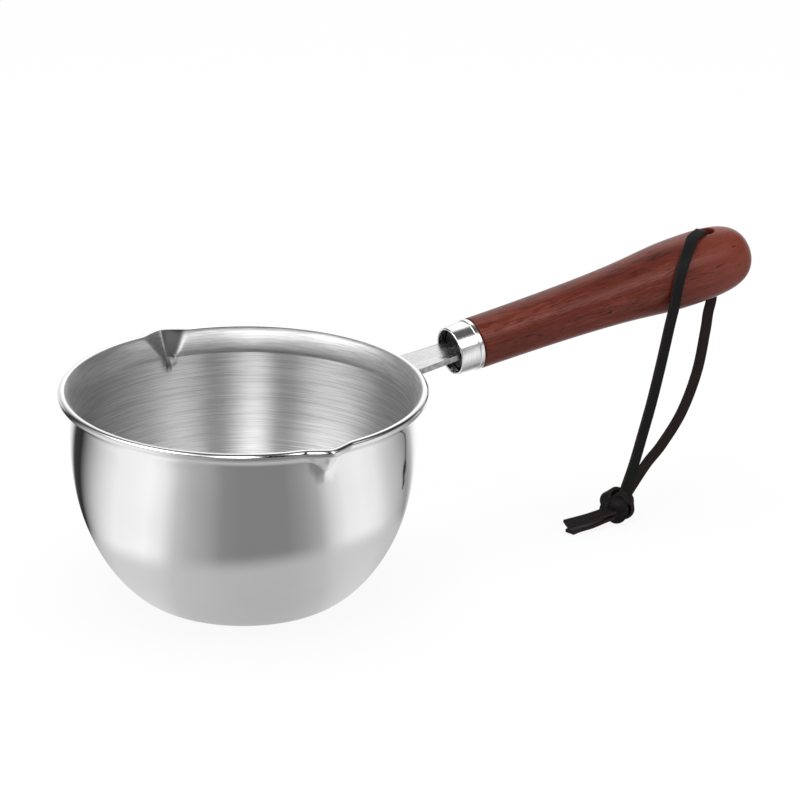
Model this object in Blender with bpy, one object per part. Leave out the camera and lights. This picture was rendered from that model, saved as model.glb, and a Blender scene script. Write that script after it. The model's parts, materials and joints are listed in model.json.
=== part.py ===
"""Small stainless steel pot for heating oil, with a wooden handle and a leather thong to hang it by.

Metres, +Z up. The origin is the middle of the base, on the table. The handle runs out along +X
and rises a little, and the two pouring spouts lie across it, on the -Y and +Y sides.
"""

from math import atan2, cos, pi, radians, sin, sqrt, tan

import bmesh
import bpy
from mathutils import Matrix, Vector

MM = 0.001
NEAR = Vector((0.0, -1.0, 0.0))
UP = Vector((0.0, 0.0, 1.0))
TAIL_FACE = Vector((-0.1, -0.3, 0.95))

# Pot: one pressed sheet
pot_height = 70.0 * MM
rim_radius = 60.0 * MM
throat_radius = 55.7 * MM
base_radius = 31.5 * MM
sheet = 1.0 * MM
base_curve = 4.3 * MM  # how far the base runs on level before the wall starts to rise
belly_radius = 59.8 * MM  # the wall's curve leans towards this radius
belly_height = 19.3 * MM  # and towards this height
flare_height = 8.0 * MM  # from the throat up to the crest of the flared lip
flare_foot = 3.0 * MM  # how far the flare's curve heads straight up
flare_run = 2.4 * MM  # how far it heads straight for its edge
flare_lean = 28.7  # degrees that the lip still rises at its edge

# Spouts: two V folds pressed outwards through the lip
spout_turn = -2.1  # degrees that the line through both spouts is off square to the handle
spout_length = 11.7 * MM  # from the lip's crest down to the point of the V
spout_half_width = 7.5 * MM
spout_reach = 3.3 * MM  # past the round lip, at the end of the V's straight ridge
spout_point_half_width = 1.0 * MM
spout_settle = 14.0 * MM  # height under the point in which the columns even out again

# Handle line: it starts on the pot's axis and rises outwards
handle_below_rim = 12.25 * MM
handle_rise = radians(7.6)

# Bar: a flat strip, welded to the wall by its bent foot
bar_thickness = 2.0 * MM
bar_width = 14.5 * MM
bar_end_width = 12.4 * MM
tang_width = 10.0 * MM
tang_length = 34.0 * MM
shoulder_step = 0.1 * MM  # length over which the bar narrows to its tang
bar_edge = 0.35 * MM
foot_height = 13.0 * MM
foot_corner = 5.0 * MM
foot_bend = 3.4 * MM
weld_gap = 0.3 * MM
weld_mark_diameter = 4.0 * MM
weld_mark_depth = 0.3 * MM
weld_mark_heights = (3.6 * MM, 9.4 * MM)  # above the foot's lower end

# Ferrule: a steel collar, open at the front
ferrule_start = 78.7 * MM
ferrule_length = 8.7 * MM
ferrule_front_radius = 8.13 * MM
ferrule_back_radius = 8.45 * MM
ferrule_bead_radius = 8.75 * MM
ferrule_bead = 1.8 * MM
ferrule_wall = 0.8 * MM
ferrule_recess = 2.8 * MM

# Grip: turned wood, with a tenon in the ferrule and a hole for the thong
grip_length = 109.8 * MM
grip_neck_radius = 8.72 * MM
grip_waist_radius = 8.92 * MM
grip_waist_run = 73.0 * MM
grip_belly_radius = 12.08 * MM
grip_belly_run = 23.0 * MM
grip_belly_to_tip = 23.2 * MM
grip_end_run = 16.4 * MM
grip_end_radius = 10.1 * MM
grip_edge = 0.6 * MM
strap_hole_from_tip = 14.9 * MM
strap_hole_radius = 2.85 * MM
strap_hole_mouth = 1.0 * MM

# Thong: one flat leather strip, tied in a knot below its two runs
strap_width = 4.0 * MM
strap_thickness = 1.3 * MM
strap_step = 7.0 * MM
fold_step = 1.6 * MM
fold_slack = 0.35 * MM
fold_turn = radians(25)  # from back along the grip, round to the near side
front_hang = Vector((-0.7, 0.0, -5.1)) * MM  # from the wrap's end at the grip's side to the hinge
# where the wrap crosses the grip: mm from the hole, and degrees round from the top
grip_crossing = ((-8.0, 17), (-10.3, 27), (-13.4, 40), (-16.7, 55), (-19.4, 72), (-21.2, 90))
knot_radius = 5.9 * MM
knot_strand = 2.4 * MM
knot_place = Vector((137.2, -13.2, 0.0)) * MM
knot_turn = radians(-60)
least_end_share = 0.12  # of the width, at the tip of a rounded end

fit_gap = 0.3 * MM
handle_height = pot_height - handle_below_rim

# Facets
pot_columns = 60
spout_fold_columns = 2  # columns from the middle of a spout to its fold
spout_spread_columns = 5  # columns to each side that a spout moves
turned_steps = 44
knot_points = 72


# Materials and objects
def clear_scene():
    for old in list(bpy.data.objects):
        bpy.data.objects.remove(old, do_unlink=True)


def make_material(name, colour, metallic, roughness):
    made = bpy.data.materials.new(name)
    made.use_nodes = True
    shader = made.node_tree.nodes["Principled BSDF"]
    shader.inputs["Base Color"].default_value = (*colour, 1.0)
    shader.inputs["Metallic"].default_value = metallic
    shader.inputs["Roughness"].default_value = roughness
    return made


def add_object(name, data, surface=None, parent=None):
    made = bpy.data.objects.new(name, data)
    bpy.context.scene.collection.objects.link(made)
    made.parent = parent
    if surface:
        data.materials.append(surface)
    return made


def mesh_from(bm, name):
    mesh = bpy.data.meshes.new(name)
    bm.to_mesh(mesh)
    bm.free()
    mesh.shade_smooth()
    mesh.set_sharp_from_angle(angle=radians(35))
    return mesh


def add_cutter(name, mesh, parent=None):
    cutter = add_object(name, mesh, parent=parent)
    cutter.hide_render = True
    cutter.display_type = "WIRE"
    return cutter


def cut_with(obj, cutter):
    boolean = obj.modifiers.new(cutter.name, "BOOLEAN")
    boolean.operation = "DIFFERENCE"
    boolean.solver = "EXACT"
    boolean.object = cutter


# Outlines
def bezier(start, handle, other_handle, end, t):
    """The point of a cubic curve at t, on outlines of any dimension."""
    weights = ((1 - t) ** 3, 3 * (1 - t) ** 2 * t, 3 * (1 - t) * t**2, t**3)
    corners = (start, handle, other_handle, end)
    return tuple(sum(w * p[i] for w, p in zip(weights, corners)) for i in range(len(start)))


def bezier_run(start, handle, other_handle, end, steps):
    return [bezier(start, handle, other_handle, end, i / steps) for i in range(steps + 1)]


def arc_run(centre, radius, other_radius, first, last, steps):
    """Points of an ellipse's arc from the first angle to the last, in degrees."""
    angles = [radians(first + (last - first) * i / steps) for i in range(steps + 1)]
    return [(centre[0] + radius * cos(a), centre[1] + other_radius * sin(a)) for a in angles]


def turned(name, outline, surface, parent, closed=False):
    """A turned solid. The outline runs down the outer side, as (radius, height) along local Z."""
    bm = bmesh.new()
    corners = [bm.verts.new((radius, 0.0, height)) for radius, height in outline]
    for upper, lower in zip(corners, corners[1:]):
        bm.edges.new((upper, lower))
    if closed:
        bm.edges.new((corners[-1], corners[0]))
    mesh = bpy.data.meshes.new(name)
    bm.to_mesh(mesh)
    bm.free()
    made = add_object(name, mesh, surface, parent)
    spin = made.modifiers.new("turn", "SCREW")
    spin.angle = 2 * pi
    spin.steps = turned_steps
    spin.render_steps = turned_steps
    spin.use_merge_vertices = True
    spin.merge_threshold = 0.00001
    spin.use_smooth_shade = True
    return made


# Pot
throat_height = pot_height - flare_height
wall_curve = (
    (base_radius, 0.0),
    (base_radius + base_curve, 0.0),
    (belly_radius, belly_height),
    (throat_radius, throat_height),
)
spout_point = pot_height - spout_length


def wall_share_at(height):
    """How far along the wall's curve this height lies, from 0 at the base to 1 at the neck."""
    low, high = 0.0, 1.0
    for _ in range(40):
        middle = (low + high) / 2
        if bezier(*wall_curve, middle)[1] < height:
            low = middle
        else:
            high = middle
    return (low + high) / 2


def wall_radius_at(height):
    return throat_radius if height >= throat_height else bezier(*wall_curve, wall_share_at(height))[0]


def pot_outline():
    """The sheet's outer face, from the middle of the base up to the edge of the flared lip."""
    lean = radians(flare_lean)
    edge = (rim_radius, pot_height - sheet * cos(lean))
    foot = (throat_radius, throat_height + flare_foot)
    crown = (edge[0] - flare_run * cos(lean), edge[1] - flare_run * sin(lean))
    at_spout = wall_share_at(spout_point)
    wall = [bezier(*wall_curve, at_spout * i / 12) for i in range(13)]
    neck = [bezier(*wall_curve, at_spout + (1 - at_spout) * i / 2) for i in (1, 2)]
    flare = [bezier((throat_radius, throat_height), foot, crown, edge, i / 6) for i in range(1, 7)]
    return [(0.0, 0.0)] + wall + neck + flare


def press_spout(vertex, side):
    """Moves a vertex of the turned sheet into the V of the spout on this side of the X axis.

    The mesh's columns near the spout close in on its two folds, and the wall between them is
    pulled out to a ridge that runs straight from the V's point to the lip.
    """
    step = 2 * pi / pot_columns
    radius = sqrt(vertex.co.x**2 + vertex.co.y**2)
    column = round(atan2(vertex.co.x, side * vertex.co.y) / step)
    count = abs(column)
    if count > spout_spread_columns or radius < base_radius + base_curve:
        return
    height = vertex.co.z + sheet * radius / rim_radius
    opened = min(max(height - spout_point, 0.0) / spout_length, 1.0)
    settled = min(max(spout_point - height, 0.0) / spout_settle, 1.0)
    fold = max(spout_half_width * opened, spout_point_half_width) / radius
    fold += (spout_fold_columns * step - fold) * settled
    if count <= spout_fold_columns:
        angle = fold * count / spout_fold_columns
    else:
        share = (count - spout_fold_columns) / (spout_spread_columns - spout_fold_columns)
        angle = fold + (spout_spread_columns * step - fold) * share
    if column < 0:
        angle = -angle
    point_radius = wall_radius_at(spout_point)
    ridge = point_radius + (rim_radius + spout_reach - point_radius) * opened if opened else radius
    pull = max(ridge - radius, 0.0) * max(1.0 - count / spout_fold_columns, 0.0)
    vertex.co.x = radius * sin(angle)
    vertex.co.y = side * (radius * cos(angle) + pull)


def add_pot(surface):
    bm = bmesh.new()
    corners = [bm.verts.new((radius, 0.0, height)) for radius, height in pot_outline()]
    edges = [bm.edges.new(pair) for pair in zip(corners, corners[1:])]
    bmesh.ops.spin(
        bm, geom=corners + edges, cent=(0, 0, 0), axis=(0, 0, 1),
        angle=2 * pi, steps=pot_columns, use_merge=True,
    )
    bmesh.ops.remove_doubles(bm, verts=bm.verts, dist=0.00001)
    for vertex in bm.verts:
        for side in (-1, 1):
            if side * vertex.co.y > 0:
                press_spout(vertex, side)
    bmesh.ops.recalc_face_normals(bm, faces=bm.faces)
    base = min(bm.faces, key=lambda face: face.calc_center_median().z)
    if base.normal.z > 0:
        bmesh.ops.reverse_faces(bm, faces=bm.faces)
    pot = add_object("pot_body", mesh_from(bm, "pot_body"), surface)
    pot.rotation_euler.z = radians(spout_turn)
    wall = pot.modifiers.new("sheet", "SOLIDIFY")
    wall.thickness = sheet
    wall.offset = -1.0
    wall.use_even_offset = True
    wall.use_quality_normals = True
    return pot


# Handle bar
def bar_stations():
    """Rows across the bar, from the foot's lower end to the tang's: (x, z, half width, hug).

    Hug is 1 where the strip is curved round the pot's wall and 0 where it is flat.
    """
    off_wall = weld_gap + bar_thickness / 2
    bend_x = throat_radius + off_wall + foot_bend * (1 - sin(handle_rise))
    bend_z = handle_height + bend_x * tan(handle_rise) - foot_bend * cos(handle_rise)
    foot_end = bend_z - foot_height
    rows = []
    corner_steps = 4
    for i in range(corner_steps + 1):
        turn = radians(90 * i / corner_steps)
        height = foot_end + foot_corner * (1 - cos(turn))
        half_width = bar_width / 2 - foot_corner * (1 - sin(turn))
        rows.append((wall_radius_at(height) + off_wall, height, half_width, 1.0))
    rows.append((throat_radius + off_wall, bend_z, bar_width / 2, 1.0))
    bend_steps = 6
    for i in range(1, bend_steps + 1):
        turn = pi - (pi / 2 - handle_rise) * i / bend_steps
        x = throat_radius + off_wall + foot_bend * (1 + cos(turn))
        rows.append((x, bend_z + foot_bend * sin(turn), bar_width / 2, 1.0 - i / bend_steps))
    bend_run = bend_x / cos(handle_rise)
    shoulder = ferrule_start + ferrule_recess - fit_gap
    for share in (1 / 3, 2 / 3, 1.0):
        run = bend_run + (shoulder - bend_run) * share
        half_width = (bar_width + (bar_end_width - bar_width) * share) / 2
        rows.append((run * cos(handle_rise), handle_height + run * sin(handle_rise), half_width, 0.0))
    for run in (shoulder + shoulder_step, shoulder + tang_length / 2, shoulder + tang_length):
        rows.append((run * cos(handle_rise), handle_height + run * sin(handle_rise), tang_width / 2, 0.0))
    return rows


def add_bar(surface):
    bm = bmesh.new()
    columns = 8
    rows = []
    for x, z, half_width, hug in bar_stations():
        row = []
        for i in range(columns + 1):
            y = half_width * (2 * i / columns - 1)
            sag = x - sqrt(x**2 - y**2)
            row.append(bm.verts.new((x - sag * hug, y, z)))
        rows.append(row)
    for lower, upper in zip(rows, rows[1:]):
        for i in range(columns):
            bm.faces.new((lower[i], lower[i + 1], upper[i + 1], upper[i]))
    bar = add_object("handle_bar", mesh_from(bm, "handle_bar"), surface)
    plate = bar.modifiers.new("plate", "SOLIDIFY")
    plate.thickness = bar_thickness
    plate.offset = 0.0
    plate.use_even_offset = True
    edge = bar.modifiers.new("edge", "BEVEL")
    edge.width = bar_edge
    edge.segments = 2
    edge.limit_method = "ANGLE"
    edge.angle_limit = radians(60)
    foot_end = bar_stations()[0][1]
    for number, height in enumerate(weld_mark_heights):
        level = foot_end + height
        face = wall_radius_at(level) + weld_gap + bar_thickness
        bm = bmesh.new()
        turn = Matrix.Translation((face, 0, level)) @ Matrix.Rotation(pi / 2, 4, "Y")
        bmesh.ops.create_cone(
            bm, segments=20, radius1=weld_mark_diameter / 2, radius2=weld_mark_diameter / 2,
            depth=2 * weld_mark_depth, cap_ends=True, matrix=turn,
        )
        cut_with(bar, add_cutter(f"weld_mark_cutter_{number + 1}", mesh_from(bm, "weld_mark_cutter")))
    return bar


# Ferrule
def add_ferrule(surface, handle_line):
    start, end = ferrule_start, ferrule_start + ferrule_length
    bore = ferrule_front_radius - ferrule_wall
    edge = ferrule_wall / 2
    outline = arc_run((ferrule_bead_radius - edge, end - edge), edge, edge, 90, 0, 3)
    outline += [(ferrule_bead_radius, end - ferrule_bead / 2), (ferrule_back_radius, end - ferrule_bead)]
    outline += arc_run((ferrule_front_radius - edge, start + edge), edge, edge, 0, -90, 3)
    outline += [(bore, start), (bore, end)]
    return turned("handle_ferrule", outline, surface, handle_line, closed=True)


# Wooden grip
grip_start = ferrule_start + ferrule_length + fit_gap
grip_tip = grip_start + grip_length
belly_at = grip_tip - grip_belly_to_tip
strap_hole_at = grip_tip - strap_hole_from_tip
shaft_curve = (
    (grip_neck_radius, grip_start),
    (grip_waist_radius, grip_start + grip_waist_run),
    (grip_belly_radius, belly_at - grip_belly_run),
    (grip_belly_radius, belly_at),
)
end_curve = (
    (grip_belly_radius, belly_at),
    (grip_belly_radius, belly_at + grip_end_run),
    (grip_end_radius, grip_tip),
    (0.0, grip_tip),
)


def grip_radius_at(along):
    """The grip's radius at this distance along the handle line."""
    curve = end_curve if along > belly_at else shaft_curve
    low, high = 0.0, 1.0
    for _ in range(40):
        middle = (low + high) / 2
        if bezier(*curve, middle)[1] < along:
            low = middle
        else:
            high = middle
    return bezier(*curve, low)[0]


def add_grip(surface, handle_line):
    tenon_radius = ferrule_front_radius - ferrule_wall - fit_gap
    tenon_end = ferrule_start + ferrule_recess
    outline = bezier_run(*end_curve, 9)[::-1]
    outline += bezier_run(*shaft_curve, 12)[::-1][1:-1]
    shoulder = (grip_neck_radius - grip_edge, grip_start + grip_edge)
    outline += arc_run(shoulder, grip_edge, grip_edge, 0, -90, 2)
    outline += [(tenon_radius, grip_start), (tenon_radius, tenon_end), (0.0, tenon_end)]
    grip = turned("wooden_grip", outline, surface, handle_line)

    tang_end = tenon_end - fit_gap + tang_length
    slot = bmesh.new()
    bmesh.ops.create_cube(slot, size=1.0)
    low, high = tenon_end - 2 * MM, tang_end + fit_gap
    size = (bar_thickness + 2 * fit_gap, tang_width + 2 * fit_gap, high - low)
    bmesh.ops.scale(slot, verts=slot.verts, vec=size)
    bmesh.ops.translate(slot, verts=slot.verts, vec=(0, 0, (low + high) / 2))
    cut_with(grip, add_cutter("tang_slot_cutter", mesh_from(slot, "tang_slot_cutter"), handle_line))

    reach = grip_radius_at(strap_hole_at)
    mouth = strap_hole_mouth
    wide = strap_hole_radius + mouth
    upper = arc_run((wide, reach - mouth), mouth, mouth, 90, 180, 3)
    lower = arc_run((wide, mouth - reach), mouth, mouth, 180, 270, 3)
    outline = [(0.0, reach + 3 * MM), (wide, reach + 3 * MM)] + upper + lower
    outline += [(wide, -reach - 3 * MM), (0.0, -reach - 3 * MM)]
    hole = turned("strap_hole_cutter", outline, None, handle_line)
    hole.rotation_euler.y = -pi / 2
    hole.location.z = strap_hole_at
    hole.hide_render = True
    hole.display_type = "WIRE"
    cut_with(grip, hole)
    return grip


# Leather thong
def handle_point(along, round_from_top, height):
    """A point near the handle, and the way out from it: the angle goes round to the near side."""
    outward = Vector((0.0, -sin(round_from_top), cos(round_from_top)))
    tilt = Matrix.Rotation(-handle_rise, 3, "Y")
    centre = tilt @ Vector((along, 0, 0)) + Vector((0, 0, handle_height))
    return centre + (tilt @ outward) * height, tilt @ outward


def smooth_route(points, step):
    """Points at an even step on one smooth curve through the route's own points.

    Each route point is its place and the way that the strap's flat face looks there.
    """
    spaced = [points[0]]
    ends = [points[0]] + list(points) + [points[-1]]
    fine = []
    for before, start, end, after in zip(ends, ends[1:], ends[2:], ends[3:]):
        for i in range(24):
            t = i / 24
            place = (
                start[0]
                + (end[0] - before[0]) * (t / 2)
                + (before[0] - 2.5 * start[0] + 2 * end[0] - after[0] / 2) * t**2
                + ((after[0] - before[0]) / 2 + 1.5 * (start[0] - end[0])) * t**3
            )
            fine.append((place, start[1].lerp(end[1], t).normalized()))
    fine.append(points[-1])
    lengths = [0.0]
    for (here, _), (there, _) in zip(fine, fine[1:]):
        lengths.append(lengths[-1] + (there - here).length)
    count = max(round(lengths[-1] / step), 2)
    index = 0
    for i in range(1, count):
        wanted = lengths[-1] * i / count
        while lengths[index + 1] < wanted:
            index += 1
        share = (wanted - lengths[index]) / (lengths[index + 1] - lengths[index])
        place = fine[index][0].lerp(fine[index + 1][0], share)
        spaced.append((place, fine[index][1]))
    spaced.append(points[-1])
    return spaced


def round_first_end(route):
    """Lengthens a route at its start so that the strap begins in a half round about the first point.

    Returns the route, with a share of the strap's width for each of its points.
    """
    first, face = route[0]
    backward = (first - route[1][0]).normalized() * (strap_width / 2)
    turns = [radians(turn) for turn in (88, 75, 55, 30)]
    rounding = [(first + backward * sin(turn), face) for turn in turns]
    shares = [max(cos(turn), least_end_share) for turn in turns]
    return rounding + route, shares + [1.0] * len(route)


def add_strap(name, route, surface, parent=None, shares=None):
    """A flat strap along the route, with its width square to the way and in the flat face."""
    curve = bpy.data.curves.new(name, "CURVE")
    curve.dimensions = "3D"
    curve.twist_mode = "Z_UP"
    curve.fill_mode = "FULL"
    curve.extrude = (strap_width - strap_thickness) / 2
    curve.bevel_depth = strap_thickness / 2
    curve.bevel_resolution = 1
    curve.use_fill_caps = True
    spline = curve.splines.new("POLY")
    spline.points.add(len(route) - 1)
    places = [place for place, _ in route]
    origin = parent.matrix_world.translation if parent else Vector()
    for i, (place, face) in enumerate(route):
        ahead = (places[min(i + 1, len(places) - 1)] - place).normalized()
        behind = (place - places[max(i - 1, 0)]).normalized()
        way = (ahead + behind).normalized()
        across = way.cross(face).normalized()
        upmost = (UP - way * way.z).normalized()
        spline.points[i].co = (*(place - origin), 1.0)
        spline.points[i].tilt = atan2(way.dot(upmost.cross(across)), upmost.dot(across))
        spline.points[i].radius = shares[i] if shares else 1.0
    return add_object(name, curve, surface, parent)


def hung_from(top, points):
    """A run's points moved with its top end, and less and less towards its lower end."""
    shift, low = top - points[0], points[-1].z
    return [point + shift * ((point.z - low) / (points[0].z - low)) for point in points]


def thong_routes():
    """The routes of the thong's stretches, as lists of place and flat face.

    The wrap comes up through the hole, folds over its mouth and lies round the grip to the near
    side. The front run hangs from there, and the back run from the hole's lower mouth.
    """
    lift = strap_thickness / 2 + fit_gap
    middle, hole_up = handle_point(strap_hole_at, 0.0, 0.0)
    lower_mouth = middle - hole_up * grip_radius_at(strap_hole_at)
    outer_face = Vector((cos(handle_rise), 0.0, sin(handle_rise)))
    mouth_run = strap_hole_radius + strap_hole_mouth
    mouth_at = strap_hole_at - mouth_run * cos(fold_turn)
    mouth_turn = mouth_run * sin(fold_turn) / grip_radius_at(mouth_at)
    mouth, mouth_up = handle_point(mouth_at, mouth_turn, grip_radius_at(mouth_at) - strap_hole_mouth)
    fold_face = outer_face * cos(fold_turn) + mouth_up.cross(outer_face) * sin(fold_turn)
    fold_radius = strap_hole_mouth + lift + fold_slack

    front = [(159.1, -12.5, 74.3), (157.5, -12.4, 67.6), (155.8, -12.1, 59.2), (153.9, -12.0, 50.9)]
    front += [(151.1, -11.9, 39.8), (147.7, -12.0, 28.8), (144.2, -12.7, 19.5), (139.5, -13.8, 9.7)]
    back = [(182.6, 0.0, 68.1), (181.5, -0.1, 63.4), (180.4, -0.4, 57.2), (176.6, -1.6, 43.3)]
    back += [(169.3, -3.8, 30.7), (160.0, -6.1, 21.5), (151.9, -8.4, 16.2), (141.6, -12.0, 8.2)]
    upper = [(131.9, -15.4, 5.4), (127.2, -14.9, 4.6), (124.0, -14.3, 4.0), (116.6, -13.5, 3.3)]
    lower = [(132.5, -14.4, 2.6), (126.6, -13.6, 1.1), (121.3, -14.0, 0.95), (117.3, -15.0, 0.95)]
    front, back, upper, lower = ([Vector(p) * MM for p in run] for run in (front, back, upper, lower))

    wrap = [(lower_mouth, NEAR), ((lower_mouth + middle) / 2, (fold_face + NEAR).normalized())]
    wrap += [(middle, fold_face), (middle + hole_up * 5.0 * MM, fold_face)]
    for angle in (0, 35, 70, 100):
        face = fold_face * cos(radians(angle)) + mouth_up * sin(radians(angle))
        wrap.append((mouth + face * fold_radius, face))
    for from_hole, angle in grip_crossing:
        along = strap_hole_at + from_hole * MM
        wrap.append(handle_point(along, radians(angle), grip_radius_at(along) + lift))
    front = hung_from(wrap[-1][0] + front_hang, front)
    back = hung_from(lower_mouth - hole_up * (strap_width / 2 + fit_gap), back)
    hanging = (front[0] - front[1]).normalized()
    wrap.append((front[0] + hanging * (strap_width / 2 + fit_gap), NEAR))
    return {
        "wrap": wrap,
        "front_run": [(place, NEAR) for place in front],
        "back_run": [(place, NEAR) for place in back],
        "upper_tail": [(place, TAIL_FACE) for place in upper],
        "lower_tail": [(place, UP) for place in lower],
    }


def add_knot(surface, parent):
    """An overhand knot: one unbroken strand round three lobes, resting on the table."""
    across = knot_radius - knot_strand / 2
    ring, weave, rise = across / 1.45, 0.45 * across / 1.45, 0.62 * across / 1.45
    face = Vector((-0.45, -0.8, 0.4)).normalized()
    level = UP.cross(face).normalized()
    turn = Matrix((level, face.cross(level), face)).transposed()
    places = []
    for i in range(knot_points):
        a = 2 * pi * i / knot_points
        reach = ring + weave * cos(3 * a + pi / 2)
        around = 2 * a + knot_turn
        place = Vector((reach * cos(around), reach * sin(around), rise * sin(3 * a + pi / 2)))
        places.append(turn @ place)
    curve = bpy.data.curves.new("lanyard_knot", "CURVE")
    curve.dimensions = "3D"
    curve.bevel_depth = knot_strand / 2
    curve.bevel_resolution = 2
    spline = curve.splines.new("POLY")
    spline.points.add(knot_points - 1)
    spline.use_cyclic_u = True
    rest = UP * (knot_strand / 2 - min(place.z for place in places))
    offset = knot_place + rest - parent.matrix_world.translation
    for point, place in zip(spline.points, places):
        point.co = (*(place + offset), 1.0)
    gap = least_gap(places, knot_strand)
    print(f"lanyard_knot: least gap of the strand to itself {gap / MM:.2f} mm")
    return add_object("lanyard_knot", curve, surface, parent)


def least_gap(places, diameter):
    """The least gap of a closed strand to itself, face to face, past a bend's own length."""
    count = len(places)
    length = sum((places[i] - places[i - 1]).length for i in range(count))
    apart = round(count * 1.6 * diameter / length)
    least = min(
        (places[i] - places[j]).length
        for i in range(count)
        for j in range(i + apart, count - max(apart - i, 0))
    )
    return least - diameter


def add_thong(surface):
    routes = thong_routes()
    pivot, other_pivot = routes["front_run"][0][0], routes["back_run"][0][0]
    swing = add_object("lanyard_swing", None)
    swing.location = (pivot + other_pivot) / 2
    bpy.context.view_layer.update()
    add_strap("lanyard_wrap", smooth_route(routes["wrap"], fold_step), surface)
    for name in ("front_run", "back_run"):
        route, shares = round_first_end(smooth_route(routes[name], strap_step))
        add_strap(f"lanyard_{name}", route, surface, swing, shares)
    for name in ("upper_tail", "lower_tail"):
        add_strap(f"lanyard_{name}", smooth_route(routes[name], strap_step), surface, swing)
    add_knot(surface, swing)
    axis = (other_pivot - pivot).normalized()
    print("lanyard_swing: pivot", [round(v, 5) for v in pivot], "axis", [round(v, 4) for v in axis])


def main():
    clear_scene()
    pot_steel = make_material("pot_steel", (0.62, 0.62, 0.62), 1.0, 0.22)
    bar_steel = make_material("bar_steel", (0.6, 0.6, 0.61), 1.0, 0.3)
    ferrule_steel = make_material("ferrule_steel", (0.6, 0.6, 0.61), 1.0, 0.25)
    wood = make_material("reddish_wood", (0.19, 0.05, 0.032), 0.0, 0.42)
    leather = make_material("dark_leather", (0.02, 0.014, 0.012), 0.0, 0.6)
    handle_line = add_object("handle_line", None)
    handle_line.location.z = handle_height
    handle_line.rotation_euler.y = pi / 2 - handle_rise
    add_pot(pot_steel)
    add_bar(bar_steel)
    add_ferrule(ferrule_steel, handle_line)
    add_grip(wood, handle_line)
    add_thong(leather)


main()
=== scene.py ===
"""The looks of a small stainless steel pot for heating oil, with a wooden handle and a leather thong.

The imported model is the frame: metres, +Z up, the middle of the base at the origin on the table, the
handle out along +X, and the pouring spouts on the -Y and +Y sides. Each operator makes one piece, or
one group of like pieces, from the sizes and colours that the sidebar panel lists.
"""

import json
from math import cos, degrees, pi, radians, sin, sqrt

import bmesh
import bpy
from mathutils import Matrix, Vector


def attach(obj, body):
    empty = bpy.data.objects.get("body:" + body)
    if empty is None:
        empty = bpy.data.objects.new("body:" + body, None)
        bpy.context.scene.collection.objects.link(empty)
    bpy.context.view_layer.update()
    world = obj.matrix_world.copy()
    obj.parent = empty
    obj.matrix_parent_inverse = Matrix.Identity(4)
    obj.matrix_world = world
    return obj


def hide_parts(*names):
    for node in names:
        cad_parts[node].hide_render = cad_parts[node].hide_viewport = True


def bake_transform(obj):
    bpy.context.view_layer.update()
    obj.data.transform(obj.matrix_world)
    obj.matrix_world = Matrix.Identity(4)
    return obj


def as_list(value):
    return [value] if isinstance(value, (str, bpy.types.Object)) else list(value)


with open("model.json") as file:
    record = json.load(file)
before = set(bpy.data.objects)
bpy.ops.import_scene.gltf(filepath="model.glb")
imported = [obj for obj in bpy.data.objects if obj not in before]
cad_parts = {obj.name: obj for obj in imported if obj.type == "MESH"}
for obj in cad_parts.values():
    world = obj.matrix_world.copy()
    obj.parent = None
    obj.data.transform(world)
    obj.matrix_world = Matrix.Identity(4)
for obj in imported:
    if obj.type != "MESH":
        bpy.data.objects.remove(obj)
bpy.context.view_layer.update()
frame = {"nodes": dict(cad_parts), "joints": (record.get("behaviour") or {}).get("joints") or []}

bl_info = {
    "name": "Hot Oil Pot",
    "version": (1, 0, 0),
    "blender": (4, 5, 0),
    "location": "View3D > Sidebar > Oil Pot",
    "description": "Makes a small steel pot with pouring spouts, a wooden handle and a leather thong",
    "category": "Add Mesh",
}

MM = 0.001
NEAR = Vector((0.0, -1.0, 0.0))
UP = Vector((0.0, 0.0, 1.0))

# Gaps and small roundings
GRIP_GAP = 0.3 * MM
TENON_PLAY = 0.3 * MM
STRAP_CORNER = 0.3 * MM
BUMP_DEPTH = 0.2 * MM
JOINED_WITHIN = 0.01 * MM

# The knot's middle, the way that it and the upper tail face, and where the back strip leaves the wood
KNOT_MIDDLE = Vector((0.1373, -0.0132, 0.0060))
KNOT_FACE = Vector((-0.45, -0.8, 0.4)).normalized()
TAIL_FACE = Vector((-0.1, -0.3, 0.95)).normalized()
BACK_LEAVES_MM = (182.7, 0.0, 67.9)

# What the steel mirrors: tones by the degrees round from the -Y side, with +X at 90. The walls' tones
# follow brightness readings of the pot's upper wall in the photograph, and the roof's were tuned to it
WALL_TONES = (
    (-180, 0.95), (-170, 0.75), (-164, 0.25), (-161, 0.05), (-149, 0.03), (-145, 0.13),
    (-128, 0.62), (-119, 0.82), (-108, 1.0), (-84, 1.08), (-75, 0.95), (-66, 0.60), (-58, 0.47),
    (-49, 0.39), (-40, 0.27), (-31, 0.245), (-6, 0.25), (4, 0.33), (13, 0.45), (20, 0.72), (30, 0.94),
    (42, 1.0), (54, 0.92), (66, 0.66), (80, 0.46), (90, 0.30), (98, 0.50), (106, 0.95), (118, 1.05),
    (150, 0.95), (180, 0.95),
)
ROOF_TONES = (
    (-180, 0.62), (-165, 0.10), (-155, 0.02), (-142, 0.25), (-131, 0.60), (-111, 1.30), (-94, 1.35),
    (-78, 0.95), (-67, 0.35), (-53, 0.20), (-48, 0.50), (-42, 2.20), (-28, 2.20), (-23, 0.90),
    (-17, 0.00), (2, 0.00), (7, 0.45), (14, 1.40), (22, 1.60), (30, 0.70), (37, 0.25), (60, 0.20),
    (75, 0.08), (103, 0.02), (115, 0.30), (125, 0.90), (142, 1.60), (158, 1.20), (180, 0.62),
)
# How strongly the front of the room shows, by the upward part of the way to it
FRONT_STRENGTHS = ((0.12, 1.0), (0.22, 0.35), (0.40, 0.35), (0.50, 4.0), (0.76, 4.0), (0.86, 1.0))
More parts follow.
